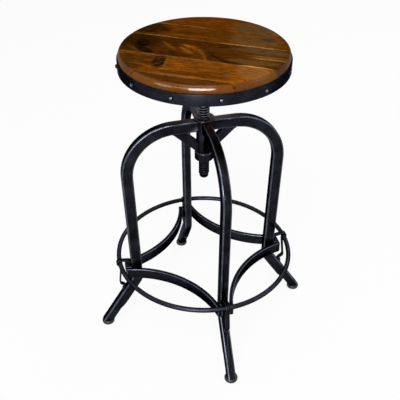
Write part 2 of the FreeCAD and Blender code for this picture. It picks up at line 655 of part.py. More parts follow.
failed = [o.Name for o in doc.Objects if {"Invalid", "Error"} & set(o.State)]
failed += [p.Label for p in sub_parts if p.Shape.isNull() or not p.Shape.isValid() or not p.Shape.Solids]
if failed:
    raise RuntimeError(f"These pieces failed: {failed}")
os.makedirs("parts", exist_ok=True)
for piece in sub_parts:
    piece.Shape.exportStep(f"parts/{piece.Label}.step")
    print(piece.Label, len(piece.Shape.Solids), round(piece.Shape.Volume))
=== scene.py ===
import json
import math
import bmesh
import bpy
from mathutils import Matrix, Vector, noise

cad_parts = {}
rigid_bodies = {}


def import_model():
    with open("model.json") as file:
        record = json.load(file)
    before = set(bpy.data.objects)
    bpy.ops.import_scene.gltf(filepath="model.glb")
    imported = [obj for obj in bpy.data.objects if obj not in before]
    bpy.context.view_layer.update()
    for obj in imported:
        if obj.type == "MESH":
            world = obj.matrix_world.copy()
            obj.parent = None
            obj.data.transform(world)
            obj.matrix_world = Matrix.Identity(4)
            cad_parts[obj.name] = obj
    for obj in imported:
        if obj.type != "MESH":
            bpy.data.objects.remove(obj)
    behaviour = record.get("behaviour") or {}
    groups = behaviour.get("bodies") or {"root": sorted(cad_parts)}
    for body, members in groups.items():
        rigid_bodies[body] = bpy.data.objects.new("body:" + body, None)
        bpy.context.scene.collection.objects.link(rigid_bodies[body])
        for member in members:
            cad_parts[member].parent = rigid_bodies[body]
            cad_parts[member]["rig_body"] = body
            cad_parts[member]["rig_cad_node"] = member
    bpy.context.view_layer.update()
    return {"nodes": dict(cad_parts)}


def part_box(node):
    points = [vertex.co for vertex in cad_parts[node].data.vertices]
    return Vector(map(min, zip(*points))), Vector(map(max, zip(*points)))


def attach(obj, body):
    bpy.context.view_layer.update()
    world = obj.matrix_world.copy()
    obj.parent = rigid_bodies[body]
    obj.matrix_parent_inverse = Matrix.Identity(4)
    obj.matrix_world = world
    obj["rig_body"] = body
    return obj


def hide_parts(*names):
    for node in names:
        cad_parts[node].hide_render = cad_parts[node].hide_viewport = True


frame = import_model()
nodes = frame["nodes"]
print("frame loaded with", len(nodes), "nodes")

sides = ["right", "back", "left", "front"]  # the legs' names, each a quarter turn on from the last
sameSpot = 1e-6  # metres within which two vertices are one
sameHeight = 1e-5  # metres within which two heights are the same
noiseLow, noiseHigh = 0.3, 0.7  # nearly all of a noise texture's values lie between these
waveTurn = 0.314  # a wave texture's period at a scale of 1, in metres


def linear(colour):  # sRGB hex to linear RGBA
    shares = [int(colour[i:i + 2], 16) / 255 for i in (1, 3, 5)]
    return [s / 12.92 if s <= 0.04045 else ((s + 0.055) / 1.055) ** 2.4 for s in shares] + [1]


def perMetre(millimetres):  # texture scale for a pattern of this size
    return 1000 / millimetres


def addNode(tree, kind, settings=None, links=None):  # a number names a socket by its place
    node = tree.nodes.new("ShaderNode" + kind)
    for name, setting in (settings or {}).items():
        if name == "stops":
            ramp = node.color_ramp.elements
            while len(ramp) < len(setting):
                ramp.new(1)
            for stop, (place, colour) in zip(ramp, setting):
                stop.position = place
                stop.color = linear(colour)
        elif isinstance(name, int) or name in node.inputs:
            node.inputs[name].default_value = setting
        else:
            setattr(node, name, setting)
    for name, source in (links or {}).items():
        tree.links.new(source, node.inputs[name])
    return node


def newMaterial(name):
    material = bpy.data.materials.new(name)
    material.use_nodes = True
    tree = material.node_tree
    tree.nodes.clear()
    surface = addNode(tree, "BsdfPrincipled")
    addNode(tree, "OutputMaterial", links={"Surface": surface.outputs[0]})
    place = addNode(tree, "TexCoord").outputs["Object"]
    return material, tree, surface, place


def feedSurface(tree, surface, sources):
    for socket, source in sources.items():
        tree.links.new(source, surface.inputs[socket])


def axisReach(tree, place):  # distance from the stool's upright axis
    level = addNode(tree, "VectorMath", {"operation": "MULTIPLY", 1: (1, 1, 0)}, {0: place})
    return addNode(tree, "VectorMath", {"operation": "LENGTH"}, {0: level.outputs[0]}).outputs["Value"]


def dress(piece, material):
    piece.data.materials.clear()
    piece.data.materials.append(material)


def startPiece():
    if bpy.context.object and bpy.context.object.mode != "OBJECT":
        bpy.ops.object.mode_set(mode="OBJECT")
    bpy.ops.object.select_all(action="DESELECT")


def selectEdges(piece, test):
    bpy.ops.mesh.select_mode(type="EDGE")
    bpy.ops.mesh.select_all(action="DESELECT")
    mesh = bmesh.from_edit_mesh(piece.data)
    mesh.normal_update()
    for edge in mesh.edges:
        if test(edge):
            edge.select_set(True)
    mesh.select_flush_mode()
    bmesh.update_edit_mesh(piece.data)


def finishPiece(piece, name, body, material, smoothAngle):
    startPiece()
    piece.select_set(True)
    bpy.context.view_layer.objects.active = piece
    bpy.ops.object.transform_apply(location=True, rotation=True, scale=True)
    bpy.ops.object.shade_smooth_by_angle(angle=math.radians(smoothAngle))
    piece.name = name
    dress(piece, material)
    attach(piece, body)
    piece.select_set(False)


# camera where the photograph was taken from, turned in degrees, with its lens in mm
cameraView = {"place": (-0.3113, -1.1565, 1.2404), "tilt": 53.369, "turn": -14.631,
              "lens": 55.83, "sensor": 36}
startPiece()
bpy.ops.object.camera_add(location=cameraView["place"],
                          rotation=(math.radians(cameraView["tilt"]), 0, math.radians(cameraView["turn"])))
camera = bpy.context.object
camera.data.lens = cameraView["lens"]
camera.data.sensor_width = cameraView["sensor"]
bpy.context.scene.camera = camera
bpy.context.scene.view_settings.view_transform = "Standard"
print("camera set")

# graphite lacquer, brushed on steel: black, with a leaden blue shine on edges, small sags in the coat,
# and a painted reflection of the wood seat, red-brown, on upper faces by the hub
lacquerLook = {
    "deep": "#17171b", "grey": "#282930", "edgeOn": "#7c7e86", "patch": 34, "gloss": (0.22, 0.36),
    "rubbed": "#585c69", "rubPatch": 20, "leastRub": 0.4,
    "paintedWoodReflection": "#43241f", "paintedReflectionShare": 0.65, "paintedReflectionReach": (0.03, 0.11),  # metres from the hub's top
    "sag": 14, "sagBump": {"Strength": 0.15, "Distance": 0.0005},
    "peel": 2.2, "peelBump": {"Strength": 0.04, "Distance": 0.0002},
}


def graphiteLacquer():
    material, tree, surface, place = newMaterial("graphite_lacquer_on_steel")
    patch = addNode(tree, "TexNoise",
                    {"Scale": perMetre(lacquerLook["patch"]), "Detail": 5, "Roughness": 0.62},
                    {"Vector": place})
    tone = addNode(tree, "ValToRGB", {"stops": [(0.38, lacquerLook["deep"]), (0.72, lacquerLook["grey"])]},
                   {"Fac": patch.outputs[0]})
    rubPatch = addNode(tree, "TexNoise", {"Scale": perMetre(lacquerLook["rubPatch"]), "Detail": 3},
                       {"Vector": place})
    worn = addNode(tree, "MapRange", {"From Min": 0.3, "From Max": 0.6, "To Min": lacquerLook["leastRub"]},
                   {"Value": rubPatch.outputs[0]})
    edge = addNode(tree, "Attribute", {"attribute_name": "rub"})
    rubbed = addNode(tree, "Math", {"operation": "MULTIPLY"}, {0: worn.outputs[0], 1: edge.outputs["Fac"]})
    colour = addNode(tree, "Mix", {"data_type": "RGBA", 7: linear(lacquerLook["rubbed"])},
                     {0: rubbed.outputs[0], 6: tone.outputs[0]})
    # painted reflection: the seat's red-brown wood put into the colour of upward faces near the hub, which
    # are not metal there
    facing = addNode(tree, "SeparateXYZ", links={0: addNode(tree, "NewGeometry").outputs["Normal"]})
    upward = addNode(tree, "MapRange", {"From Min": 0.2, "From Max": 0.9}, {"Value": facing.outputs[2]})
    near, far = lacquerLook["paintedReflectionReach"]
    hubTop = (0, 0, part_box("hub_tube")[1].z)
    hubOff = addNode(tree, "VectorMath", {"operation": "DISTANCE", 1: hubTop}, {0: place})
    byHub = addNode(tree, "MapRange",
                    {"From Min": far, "From Max": near, "To Max": lacquerLook["paintedReflectionShare"]},
                    {"Value": hubOff.outputs["Value"]})
    paintedReflection = addNode(tree, "Math", {"operation": "MULTIPLY"}, {0: upward.outputs[0], 1: byHub.outputs[0]})
    colour = addNode(tree, "Mix", {"data_type": "RGBA", 7: linear(lacquerLook["paintedWoodReflection"])},
                     {0: paintedReflection.outputs[0], 6: colour.outputs[2]})
    metalShare = addNode(tree, "Math", {"operation": "SUBTRACT", 0: 1}, {1: paintedReflection.outputs[0]})
    smooth, dull = lacquerLook["gloss"]
    gloss = addNode(tree, "MapRange",
                    {"From Min": noiseLow, "From Max": noiseHigh, "To Min": smooth, "To Max": dull},
                    {"Value": patch.outputs[0]})
    sag = addNode(tree, "TexNoise", {"Scale": perMetre(lacquerLook["sag"]), "Detail": 2}, {"Vector": place})
    peel = addNode(tree, "TexNoise", {"Scale": perMetre(lacquerLook["peel"]), "Detail": 1},
                   {"Vector": place})
    sagBump = addNode(tree, "Bump", lacquerLook["sagBump"], {"Height": sag.outputs[0]})
    peelBump = addNode(tree, "Bump", lacquerLook["peelBump"],
                       {"Height": peel.outputs[0], "Normal": sagBump.outputs[0]})
    surface.inputs["Specular Tint"].default_value = linear(lacquerLook["edgeOn"])
    feedSurface(tree, surface, {"Base Color": colour.outputs[2], "Metallic": metalShare.outputs[0],
                                "Roughness": gloss.outputs[0], "Normal": peelBump.outputs[0]})
    return material


# strip steel, heat blackened and waxed: blue-grey with faint rolling lines round the seat,
# which are drawn coarser than real ones so that they show
bandLook = {
    "dark": "#15161b", "light": "#2a2b35", "edgeOn": "#7c7e86", "patch": 40, "gloss": (0.34, 0.55),
    "line": 1.6, "lineStretch": 0.05, "lineShare": 0.35, "bump": {"Strength": 0.2, "Distance": 0.0002},
}


def blackenedStrip():
    material, tree, surface, place = newMaterial("blackened_strip_steel")
    stretch = bandLook["lineStretch"]
    flat = addNode(tree, "Mapping", {"Scale": (stretch, stretch, 1)}, {"Vector": place})
    lines = addNode(tree, "TexNoise", {"Scale": perMetre(bandLook["line"]), "Detail": 3},
                    {"Vector": flat.outputs[0]})
    patch = addNode(tree, "TexNoise",
                    {"Scale": perMetre(bandLook["patch"]), "Detail": 5, "Roughness": 0.65}, {"Vector": place})
    both = addNode(tree, "Math", {"operation": "MULTIPLY_ADD", 1: bandLook["lineShare"]},
                   {0: lines.outputs[0], 2: patch.outputs[0]})
    tone = addNode(tree, "ValToRGB", {"stops": [(0.5, bandLook["dark"]), (0.85, bandLook["light"])]},
                   {"Fac": both.outputs[0]})
    smooth, dull = bandLook["gloss"]
    gloss = addNode(tree, "MapRange",
                    {"From Min": noiseLow, "From Max": noiseHigh, "To Min": dull, "To Max": smooth},
                    {"Value": patch.outputs[0]})
    bump = addNode(tree, "Bump", bandLook["bump"], {"Height": both.outputs[0]})
    surface.inputs["Metallic"].default_value = 1
    surface.inputs["Specular Tint"].default_value = linear(bandLook["edgeOn"])
    feedSurface(tree, surface, {"Base Color": tone.outputs[0], "Roughness": gloss.outputs[0],
                                "Normal": bump.outputs[0]})
    return material


# blackened steel studs, with a painted highlight as a bright spot on the upper crown of each dark dome
studLook = {
    "dark": "#1d1e23", "bright": "#747884", "gloss": (0.3, 0.2), "mark": 2.4, "markShare": 0.3,
    "crown": (-0.0006, 0.0001), "tilt": 0.16,  # the bright spot from rim to middle, and its lean upwards
}


def studSteelWithPaintedHighlight():
    material, tree, surface, place = newMaterial("stud_steel_with_painted_highlight")
    outside = max(vertex.co.xy.length for vertex in nodes["band_studs"].data.vertices)
    lowCorner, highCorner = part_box("band_studs")
    middle = (lowCorner.z + highCorner.z) / 2
    height = addNode(tree, "SeparateXYZ", links={0: place}).outputs[2]
    # painted highlight: a bright spot at each dome's crown, moved upwards with height
    lean = addNode(tree, "Math", {"operation": "MULTIPLY_ADD", 1: studLook["tilt"]},
                   {0: height, 2: axisReach(tree, place)})
    start, stop = (outside + middle * studLook["tilt"] + edge for edge in studLook["crown"])
    crown = addNode(tree, "MapRange", {"From Min": start, "From Max": stop}, {"Value": lean.outputs[0]})
    mark = addNode(tree, "TexNoise", {"Scale": perMetre(studLook["mark"]), "Detail": 2}, {"Vector": place})
    markShare = studLook["markShare"]
    rubbed = addNode(tree, "Math", {"operation": "MULTIPLY_ADD", 1: markShare, 2: -markShare / 2},
                     {0: mark.outputs[0]})
    share = addNode(tree, "Math", {"operation": "ADD", "use_clamp": True},
                    {0: crown.outputs[0], 1: rubbed.outputs[0]})
    tone = addNode(tree, "ValToRGB", {"stops": [(0.1, studLook["dark"]), (0.9, studLook["bright"])]},
                   {"Fac": share.outputs[0]})
    dull, smooth = studLook["gloss"]
    gloss = addNode(tree, "MapRange", {"To Min": dull, "To Max": smooth}, {"Value": share.outputs[0]})
    surface.inputs["Metallic"].default_value = 1
    feedSurface(tree, surface, {"Base Color": tone.outputs[0], "Roughness": gloss.outputs[0]})
    return material


# cut thread, blackened and oiled: black in the roots, burnished crests, dimmed below the hub by painted shade
screwLook = {
    "dark": "#08080a", "worn": "#8d8f98", "edgeOn": "#7c7e86", "patch": 5, "gloss": (0.24, 0.4),
    "crest": (-0.0011, -0.0002), "fade": 0.02,  # metres in from the crest, and below the hub's top
    "shadedCrestShare": 0.12, "oiledShare": 0.3,
}


def oiledSteel():
    material, tree, surface, place = newMaterial("oiled_black_steel")
    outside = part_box("lift_screw")[1].x
    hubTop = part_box("hub_tube")[1].z
    start, stop = (outside + edge for edge in screwLook["crest"])
    crest = addNode(tree, "MapRange", {"From Min": start, "From Max": stop},
                    {"Value": axisReach(tree, place)})
    height = addNode(tree, "SeparateXYZ", links={0: place}).outputs[2]
    # painted shade: below the hub's top the crests keep only a small share of their brightness
    shadeBelowHub = addNode(tree, "MapRange", {"From Min": hubTop - screwLook["fade"], "From Max": hubTop,
                                       "To Min": screwLook["shadedCrestShare"]}, {"Value": height})
    patch = addNode(tree, "TexNoise", {"Scale": perMetre(screwLook["patch"]), "Detail": 4},
                    {"Vector": place})
    oily = addNode(tree, "MapRange", {"From Min": 0.35, "From Max": 0.6, "To Min": screwLook["oiledShare"]},
                   {"Value": patch.outputs[0]})
    bare = addNode(tree, "Math", {"operation": "MULTIPLY"}, {0: crest.outputs[0], 1: shadeBelowHub.outputs[0]})
    share = addNode(tree, "Math", {"operation": "MULTIPLY"}, {0: bare.outputs[0], 1: oily.outputs[0]})
    tone = addNode(tree, "ValToRGB", {"stops": [(0, screwLook["dark"]), (1, screwLook["worn"])]},
                   {"Fac": share.outputs[0]})
    smooth, dull = screwLook["gloss"]
    gloss = addNode(tree, "MapRange", {"To Min": smooth, "To Max": dull}, {"Value": patch.outputs[0]})
    surface.inputs["Metallic"].default_value = 1
    surface.inputs["Specular Tint"].default_value = linear(screwLook["edgeOn"])
    feedSurface(tree, surface, {"Base Color": tone.outputs[0], "Roughness": gloss.outputs[0]})
    return material


# moulded nylon: even black with a spark-eroded grain, scuffed grey near the floor;
# the grain is drawn coarser than real so that it shows
glideLook = {
    "black": "#0e0e0f", "scuff": "#1b1b1c", "scuffTop": 0.004, "roughness": 0.4, "ior": 1.53, "shine": 0.4,
    "grain": 1.2, "bump": {"Strength": 0.2, "Distance": 0.0002},
}


def mouldedNylon():
    material, tree, surface, place = newMaterial("moulded_nylon")
    grain = addNode(tree, "TexNoise", {"Scale": perMetre(glideLook["grain"]), "Detail": 2},
                    {"Vector": place})
    height = addNode(tree, "SeparateXYZ", links={0: place}).outputs[2]
    scuff = addNode(tree, "MapRange", {"From Min": glideLook["scuffTop"], "From Max": 0}, {"Value": height})
    share = addNode(tree, "Math", {"operation": "MULTIPLY"}, {0: scuff.outputs[0], 1: grain.outputs[0]})
    tone = addNode(tree, "ValToRGB", {"stops": [(0, glideLook["black"]), (0.8, glideLook["scuff"])]},
                   {"Fac": share.outputs[0]})
    bump = addNode(tree, "Bump", glideLook["bump"], {"Height": grain.outputs[0]})
    surface.inputs["Roughness"].default_value = glideLook["roughness"]
    surface.inputs["IOR"].default_value = glideLook["ior"]
    surface.inputs["Specular IOR Level"].default_value = glideLook["shine"]
    feedSurface(tree, surface, {"Base Color": tone.outputs[0], "Normal": bump.outputs[0]})
    return material


lacquer = graphiteLacquer()
for nodeName in nodes:
    dress(nodes[nodeName], lacquer)
glideNylon = mouldedNylon()
for side in sides:
    dress(nodes["foot_" + side], glideNylon)
bandSteel = blackenedStrip()
studSteel = studSteelWithPaintedHighlight()
dress(nodes["band_studs"], studSteel)
threadSteel = oiledSteel()
dress(nodes["plate_screws"], threadSteel)
print("metal and glides dressed")

# frame bars and seat band: copies of the steel solids with sharp edges eased,
# and tight bends marked as rubbed, which shows in the lacquer only
barShape = {
    "flat": 0.4, "sharp": 40, "smooth": 32,  # degrees between faces
    "steps": 3, "endArea": 1e-4,
    "tight": 0.005,  # bends of a smaller radius are rubbed
}
# each family's edge round, and how far its upper side is trodden bare
barEase = {
    "leg": (0, 0), "strut": (0.0014, 0), "stretcher": (0.0016, 0), "ring_clip": (0.0007, 0),
    "hub": (0.0012, 0), "footrest_ring": (0, 0.18), "seat_band": (0.0007, 0),
}


def isLongEdge(edge):  # sharp, and not round a small end face, which has more than four corners
    if len(edge.link_faces) != 2 or edge.calc_face_angle() < math.radians(barShape["sharp"]):
        return False
    return all(len(face.verts) <= 4 or face.calc_area() > barShape["endArea"] for face in edge.link_faces)


def copyBar(nodeName, ease, trodden):
    startPiece()
    solid = nodes[nodeName]
    solid.select_set(True)
    bpy.context.view_layer.objects.active = solid
    bpy.ops.object.duplicate()
    bar = bpy.context.object
    del bar["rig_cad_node"]
    bpy.ops.object.mode_set(mode="EDIT")
    bpy.ops.mesh.select_all(action="SELECT")
    bpy.ops.mesh.remove_doubles(threshold=sameSpot)
    bpy.ops.mesh.dissolve_limited(angle_limit=math.radians(barShape["flat"]))
    if ease:
        selectEdges(bar, isLongEdge)
        bpy.ops.mesh.bevel(offset=ease, segments=barShape["steps"], affect="EDGES", clamp_overlap=True)
    mesh = bmesh.from_edit_mesh(bar.data)
    mesh.normal_update()
    rubs = []
    for face in mesh.faces:  # tight bends are rubbed, and what a shoe treads on
        length = max(edge.calc_length() for edge in face.edges)
        width = face.calc_area() / length
        longSides = [edge for edge in face.edges if edge.calc_length() > length / 2]
        bend = max(edge.calc_face_angle(0) for edge in longSides) / width
        rubs.append(1 if bend > 1 / barShape["tight"] else max(0, face.normal.z) * trodden)
    bpy.ops.object.mode_set(mode="OBJECT")
    rub = bar.data.attributes.new("rub", "FLOAT", "FACE")
    rub.data.foreach_set("value", rubs)
    return bar


for family, (ease, trodden) in barEase.items():
    slotName, material = ("band_steel", bandSteel) if family == "seat_band" else ("frame_paint", lacquer)
    for nodeName in [name for name in nodes if name.startswith(family)]:
        bar = copyBar(nodeName, ease, trodden)
        body = nodes[nodeName]["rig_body"]
        finishPiece(bar, "eased_" + nodeName, body, material, barShape["smooth"])
        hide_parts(nodeName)
print("bars eased")

# seat planks: one round blank, cut along the seams, with rubbed-down edges and a slight crown on each
plankShape = {
    "seamTurn": -32, "smooth": 28,  # degrees, the first from the frame's X axis
    "facets": 240, "shoulder": 0.008, "shoulderSteps": 10, "shoulderDepth": 0.014,
    "slice": 0.006, "strip": 0.009,  # spacing of the cuts along and across a plank
    "arris": 0.0013, "arrisSteps": 3, "arrisDepth": 0.95,  # the depth as a share of the shoulder
    "wallFacing": 0.999,  # how squarely a seam's wall looks across the plank
    "crown": 0.0004, "ripple": 0.00018, "rippleLength": 0.05,
    "wear": 0.0009, "wearLength": 0.022, "wearReach": 1.5,  # the reach from a seam, in arrises
    "slack": 0.01,  # share by which a measure may miss the seat's radius or shoulder
}
seamTurn = math.radians(plankShape["seamTurn"])
along = Vector((math.cos(seamTurn), math.sin(seamTurn), 0))
across = Vector((-math.sin(seamTurn), math.cos(seamTurn), 0))
plankNames = sorted(name for name in nodes if name.startswith("seat_board"))
plankEdges = {}
for plankName in plankNames:
    reaches = [vertex.co.dot(across) for vertex in nodes[plankName].data.vertices]
    plankEdges[plankName] = (min(reaches), max(reaches))
seatRadius = max(vertex.co.xy.length for name in plankNames for vertex in nodes[name].data.vertices)
seatBottom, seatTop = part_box(plankNames[0])[0].z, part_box(plankNames[2])[1].z


def cutPlank(place, normal, fill=False, inner=False, outer=False):
    bpy.ops.mesh.select_all(action="SELECT")
    bpy.ops.mesh.bisect(plane_co=place, plane_no=normal, use_fill=fill,
                        clear_inner=inner, clear_outer=outer)


def isSeamArris(edge):  # between a seam's wall and the plank's upper side
    if len(edge.link_faces) != 2:
        return False
    walls = [abs(face.normal.dot(across)) > plankShape["wallFacing"] for face in edge.link_faces]
    lowest = min(vertex.co.z for vertex in edge.verts)
    return walls.count(True) == 1 and lowest > seatTop - plankShape["shoulder"] * plankShape["arrisDepth"]


def makePlank(plankName, seed):
    low, high = plankEdges[plankName]
    shoulder, slack = plankShape["shoulder"], plankShape["slack"]
    startPiece()
    bpy.ops.mesh.primitive_cylinder_add(vertices=plankShape["facets"], radius=seatRadius,
                                        depth=seatTop - seatBottom,
                                        location=(0, 0, (seatTop + seatBottom) / 2))
    plank = bpy.context.object
    bpy.ops.object.transform_apply(location=True, rotation=True, scale=True)
    bpy.ops.object.mode_set(mode="EDIT")
    selectEdges(plank, lambda edge: all(vertex.co.z > seatTop - sameHeight for vertex in edge.verts))
    bpy.ops.mesh.bevel(offset=shoulder, segments=plankShape["shoulderSteps"], affect="EDGES")
    if low > -seatRadius * (1 - slack):  # an outermost plank has a seam on one side only
        cutPlank(across * low, across, fill=True, inner=True)
    if high < seatRadius * (1 - slack):
        cutPlank(across * high, across, fill=True, outer=True)
    steps = int(seatRadius / plankShape["slice"])
    for step in range(-steps, steps + 1):
        cutPlank(along * step * plankShape["slice"], along)
    strips = max(2, round((high - low) / plankShape["strip"]))
    for strip in range(1, strips):
        cutPlank(across * (low + (high - low) * strip / strips), across)
    selectEdges(plank, isSeamArris)
    bpy.ops.mesh.bevel(offset=plankShape["arris"], segments=plankShape["arrisSteps"], affect="EDGES")
    bpy.ops.object.mode_set(mode="OBJECT")
    for vertex in plank.data.vertices:  # lowered only, so the seat keeps its height
        place = vertex.co.copy()
        depth = max(0, seatTop - place.z)
        if depth > shoulder * (1 + slack):
            continue
        if place.xy.length > seatRadius - shoulder:  # the rounded edge runs further down than in
            depth *= plankShape["shoulderDepth"] / shoulder
        reach = place.dot(across)
        fromSeam = min(reach - low, high - reach)
        drop = plankShape["crown"] * ((2 * reach - low - high) / (high - low)) ** 2
        waves = noise.noise(place / plankShape["rippleLength"] + Vector((seed, 0, 0)))
        drop += plankShape["ripple"] * (1 + waves)
        if fromSeam < plankShape["arris"] * plankShape["wearReach"]:
            rub = noise.noise(Vector((place.dot(along) / plankShape["wearLength"], seed * 3 + fromSeam, 0)))
            drop += plankShape["wear"] * max(0, rub)
        vertex.co.z = seatTop - depth - drop
    return plank


# mango wood, stained brown and varnished: honey grain, dark heart streaks, pale rubbed seams and a shine
# at the edge; the pores are drawn coarser than real so that they show
woodLook = {
    # noises as size in mm, stretch along the plank, detail and bend
    "tone": (42, 0.3, 5, 0.6), "blotch": (40, 0.4, 5, 0.8), "fleck": (4.5, 0.2, 4, 0),
    "edge": (16, 0.35, 6, 0), "break": (4, 0.5, 4, 0.8), "pore": (1.5, 0.07, 2, 0),
    "speck": (3.4, 0.8, 2, 0), "rubbedPatch": (26, 0.5, 4, 0),
    "shift": (0.37, 0.11),  # metres along and across from one plank's noise to the next one's
    # stains as the pattern's values where they begin and where they are full, and their largest share
    "ringStain": (0.5, 0.9, 0.4), "blotchStain": (0.56, 0.68, 0.4), "fleckStain": (0.5, 0.62, 0.7),
    "topFleckStain": (0.52, 0.62, 0.3), "sawStain": (0.5, 0.9, 0.55), "poreStain": (0.54, 0.64, 0.7),
    "speckStain": (0.64, 0.7, 0.85), "rimShare": 0.8, "rubbedShare": 0.45,
    "ring": 6, "ringStretch": 0.13, "sawSpacing": 6.5,  # mm, and how far rings are drawn out
    "walnut": "#170d03", "rubbed": "#93622a", "gloss": (0.3, 0.45), "varnish": 0.22, "varnishRoughness": 0.12,
    "rubbedWidth": (0.0006, 0.0018), "rubbedDepth": (0.0035, 0.0016), "shoulderDepth": (0.0008, 0.003),
    "markFade": (1.25, 0.7),  # from a mark's outside to its full colour, in half sizes
    "streaky": 1.3,  # marks more ragged than this are broken into streaks
    "poreBump": {"Strength": 0.3, "Distance": 0.0002, "invert": True},
    "edgeBump": {"Strength": 0.2, "Distance": 0.0006},
}
# each plank's look, in seat axes, mm and degrees: its colours on the flat and round the rim,
# the rings' heart, saw arcs as turning point, middle and half sizes,
# and marks as middle, half sizes, turn, colour, strength and raggedness
# the rim colours are partly the edge's own stain and partly painted light: light on the front plank's edge,
# which faces the lamps, dark on the far planks'
plankLooks = {
    "seat_board_1": {
        "brown": "#321d07", "honey": "#57310c", "rim": "#78440d", "heart": (-10, -215), "saw": None,
        "marks": [
            ((40, -160), (60, 8), 0, "#643a10", 0.5, 1.2),
            ((-20, -148), (60, 2.2), 0, "#85592a", 0.9, 1.6),
        ],
    },
    "seat_board_2": {
        "brown": "#5e360c", "honey": "#97520f", "rim": "#5f360a", "heart": (75, -105),
        "saw": ((210, -190), (118, -92), (36, 30)),
        "marks": [
            ((-115, -98), (50, 32), 0, "#422809", 0.9, 1.2),
            ((-64, -94), (14, 30), 8, "#1c1107", 1, 0.8),
            ((-112, -128), (44, 8), 0, "#2a1905", 0.7, 1.2),
            ((-98, -113), (28, 1.2), 4, "#7d5222", 0.8, 0.3),
            ((-50, -94), (2.6, 24), 10, "#8a5a20", 0.5, 1.5),
            ((75, -105), (7, 5), 0, "#4a4034", 0.8, 0.5),
            ((125, -90), (36, 28), 0, "#966430", 0.75, 1.1),
            ((10, -130), (80, 8), 2, "#4a2a08", 0.85, 1.2),
            ((0, -143), (62, 2), 0, "#85592a", 0.9, 1.6),
            ((0, -67), (150, 1.6), 0, "#8a5a24", 0.9, 1.6),
        ],
    },
    "seat_board_3": {
        "brown": "#3c2005", "honey": "#5a3108", "rim": "#44270a", "heart": (-45, -22),
        "saw": ((-160, 40), (10, -35), (44, 28)),
        "marks": [
            ((-138, -8), (46, 44), 0, "#2a1703", 0.95, 0.9),
            ((-128, -16), (15, 20), 20, "#0d0802", 1, 1.2),
            ((-112, -48), (26, 9), -30, "#120b03", 1, 0.9),
            ((-140, -44), (22, 4), -35, "#6a3f0e", 0.8, 1.4),
            ((-15, -28), (40, 20), -42, "#6c3e0a", 0.75, 1.6),
            ((-72, -14), (26, 5), -38, "#82500f", 0.6, 1.8),
            ((-30, -7), (16, 5), -24, "#9a5f16", 1, 1.4),
            ((-6, -22), (34, 5), -40, "#935210", 0.75, 1.9),
            ((-26, -30), (26, 4), -34, "#935512", 0.9, 1.7),
            ((12, -44), (26, 4), -62, "#85500f", 0.8, 1.5),
            ((42, -46), (32, 3), -32, "#2a1704", 0.8, 1.0),
            ((118, 12), (58, 15), 0, "#5c4224", 0.95, 1.0),
            ((132, -13), (42, 3), 2, "#805628", 0.9, 1.2),
            ((138, -23), (36, 4.5), 2, "#8c5e28", 1, 1.0),
            ((118, -44), (50, 14), 0, "#684520", 0.8, 1.1),
            ((118, -63), (34, 2.6), 0, "#d8943c", 1, 1.0),
            ((-30, -63), (135, 1.8), 0, "#7d5220", 0.9, 1.6),
            ((70, -58), (26, 5), -10, "#241404", 0.7, 1.0),
        ],
    },
    "seat_board_4": {
        "brown": "#4e2805", "honey": "#683706", "rim": "#3a2209", "heart": (100, 72),
        "saw": ((200, 40), (92, 66), (40, 34)),
        "marks": [
            ((-140, 64), (40, 34), 0, "#231404", 0.92, 1.0),
            ((92, 62), (52, 36), 0, "#6d4a25", 0.8, 1.1),
            ((120, 72), (17, 13), 0, "#3c3024", 0.8, 0.7),
            ((-100, 31), (66, 2.4), 0, "#7d5830", 0.9, 1.6),
            ((92, 31), (74, 2.8), 0, "#a47c50", 0.95, 1.6),
            ((-40, 46), (50, 5), 3, "#75430c", 0.6, 1.2),
        ],
    },
    "seat_board_5": {
        "brown": "#5c2f05", "honey": "#703906", "rim": "#5a2f08", "heart": (-60, 122),
        "saw": ((210, 60), (78, 122), (46, 32)),
        "marks": [
            ((88, 122), (58, 34), 0, "#644a29", 0.85, 0.9),
            ((-80, 100), (56, 2.4), 0, "#815a34", 0.9, 1.6),
        ],
    },
}


